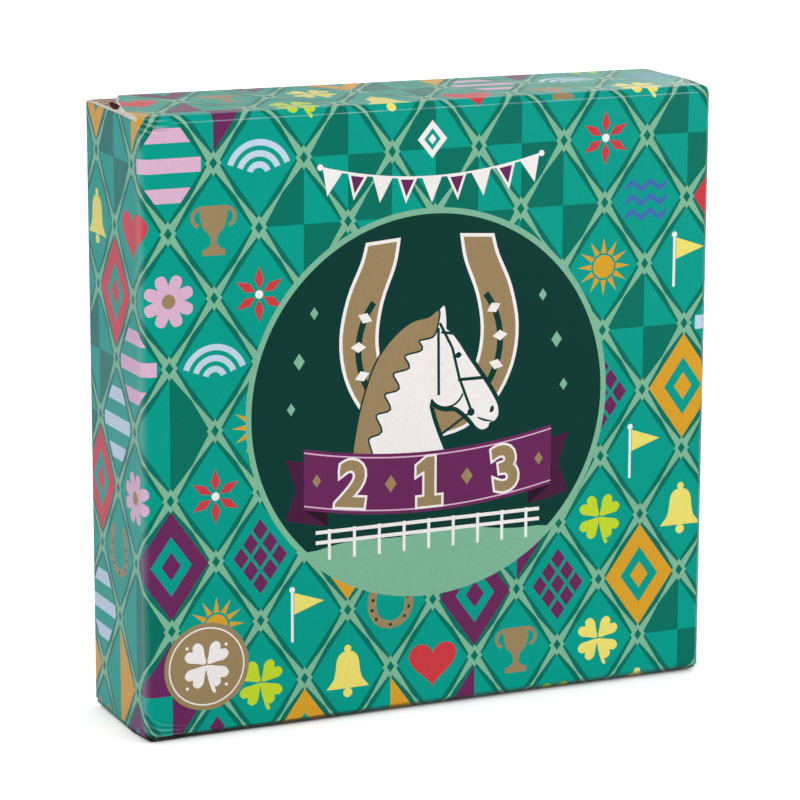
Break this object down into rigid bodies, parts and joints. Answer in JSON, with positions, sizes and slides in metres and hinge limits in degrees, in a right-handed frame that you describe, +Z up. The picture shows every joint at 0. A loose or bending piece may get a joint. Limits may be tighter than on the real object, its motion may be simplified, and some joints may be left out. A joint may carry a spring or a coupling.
{
  "type": "boxed horse racing game",
  "caption": "Boxed horse racing party game: a square printed carton lid over a base tray with dividers, play notes, betting pads, race cards, odds board, guide and rosette.",
  "frame": {"origin": "middle of the box on the surface that it stands on", "axes": "+Z up, +X to the right of someone looking at the printed front, the front faces -Y and the lid lifts off along -Y"},
  "size_m": [0.25, 0.058, 0.25],
  "materials": {
    "printed_board": "gloss-laminated print on fine corrugated board",
    "white_board": "plain white-lined board with fine flutes",
    "note_green": "uncoated printed paper",
    "note_pink": "uncoated printed paper",
    "note_gold": "uncoated printed paper",
    "note_blue": "uncoated printed paper",
    "band_paper": "plain paper strip",
    "grey_board": "unlined grey board",
    "slip_paper": "uncoated paper",
    "binding_cloth": "book cloth tape",
    "steel_wire": "bright wire",
    "ribbon_cream": "satin ribbon",
    "ribbon_purple": "satin ribbon",
    "badge_card": "printed card disc",
    "odds_print": "printed paper on grey board",
    "card_print": "satin printed card",
    "guide_print": "satin printed cover paper",
    "page_paper": "uncoated paper"
  },
  "bodies": {
    "base": {"base_tray": "printed_board", "divider_upright": "white_board", "divider_note_1": "white_board", "divider_note_2": "white_board", "divider_note_3": "white_board", "divider_slip": "white_board"},
    "lid": {"lid": "printed_board"},
    "guide": {"guide_cover": "guide_print", "guide_pages": "page_paper", "guide_staple_low": "steel_wire", "guide_staple_high": "steel_wire"},
    "race_cards": {"race_card_1": "card_print", "race_card_2": "card_print", "race_card_3": "card_print", "race_card_4": "card_print", "race_card_5": "card_print", "race_card_6": "card_print", "race_card_7": "card_print", "race_card_8": "card_print"},
    "odds_board": {"odds_leaf_back": "odds_print", "odds_leaf_front": "odds_print", "odds_hinge_tape": "binding_cloth"},
    "note_bundle_1": {"notes_1": "note_green", "note_band_1": "band_paper"},
    "note_bundle_2": {"notes_2": "note_pink", "note_band_2": "band_paper"},
    "note_bundle_3": {"notes_3": "note_gold", "note_band_3": "band_paper"},
    "note_bundle_4": {"notes_4": "note_blue", "note_band_4": "band_paper"},
    "slip_pad_2": {"slip_backing_2": "grey_board", "slip_sheets_2": "slip_paper", "slip_binding_2": "binding_cloth"},
    "slip_pad_1": {"slip_backing_1": "grey_board", "slip_sheets_1": "slip_paper", "slip_binding_1": "binding_cloth"},
    "rosette": {"rosette_pin": "steel_wire", "rosette_backing": "grey_board", "rosette_tail_1": "ribbon_cream", "rosette_tail_2": "ribbon_purple", "rosette_pleats": "ribbon_purple", "rosette_badge": "badge_card"}
  },
  "joints": [
    {"name": "lid_lift", "type": "slide", "parent": "base", "child": "lid", "axis": [0, -1, 0], "range_m": [0, 0.36]},
    {"name": "guide_lift", "type": "slide", "parent": "base", "child": "guide", "axis": [0, -1, 0], "range_m": [0, 0.27]},
    {"name": "race_cards_lift", "type": "slide", "parent": "base", "child": "race_cards", "axis": [0, -1, 0], "range_m": [0, 0.225]},
    {"name": "odds_board_lift", "type": "slide", "parent": "base", "child": "odds_board", "axis": [0, -1, 0], "range_m": [0, 0.18]},
    {"name": "note_bundle_1_lift", "type": "slide", "parent": "base", "child": "note_bundle_1", "axis": [0, -1, 0], "range_m": [0, 0.12]},
    {"name": "note_bundle_2_lift", "type": "slide", "parent": "base", "child": "note_bundle_2", "axis": [0, -1, 0], "range_m": [0, 0.12]},
    {"name": "note_bundle_3_lift", "type": "slide", "parent": "base", "child": "note_bundle_3", "axis": [0, -1, 0], "range_m": [0, 0.12]},
    {"name": "note_bundle_4_lift", "type": "slide", "parent": "base", "child": "note_bundle_4", "axis": [0, -1, 0], "range_m": [0, 0.12]},
    {"name": "slip_pad_2_lift", "type": "slide", "parent": "base", "child": "slip_pad_2", "axis": [0, -1, 0], "range_m": [0, 0.13]},
    {"name": "slip_pad_1_lift", "type": "slide", "parent": "base", "child": "slip_pad_1", "axis": [0, -1, 0], "range_m": [0, 0.11]},
    {"name": "rosette_lift", "type": "slide", "parent": "base", "child": "rosette", "axis": [0, -1, 0], "range_m": [0, 0.12]}
  ],
  "couplings": [
    {"joint": "guide_lift", "follows": "lid_lift", "ratio": 0.75},
    {"joint": "race_cards_lift", "follows": "lid_lift", "ratio": 0.625},
    {"joint": "odds_board_lift", "follows": "lid_lift", "ratio": 0.5},
    {"joint": "note_bundle_1_lift", "follows": "lid_lift", "ratio": 0.33333},
    {"joint": "note_bundle_2_lift", "follows": "lid_lift", "ratio": 0.33333},
    {"joint": "note_bundle_3_lift", "follows": "lid_lift", "ratio": 0.33333},
    {"joint": "note_bundle_4_lift", "follows": "lid_lift", "ratio": 0.33333},
    {"joint": "slip_pad_2_lift", "follows": "lid_lift", "ratio": 0.36111},
    {"joint": "slip_pad_1_lift", "follows": "lid_lift", "ratio": 0.30555},
    {"joint": "rosette_lift", "follows": "lid_lift", "ratio": 0.33333}
  ]
}
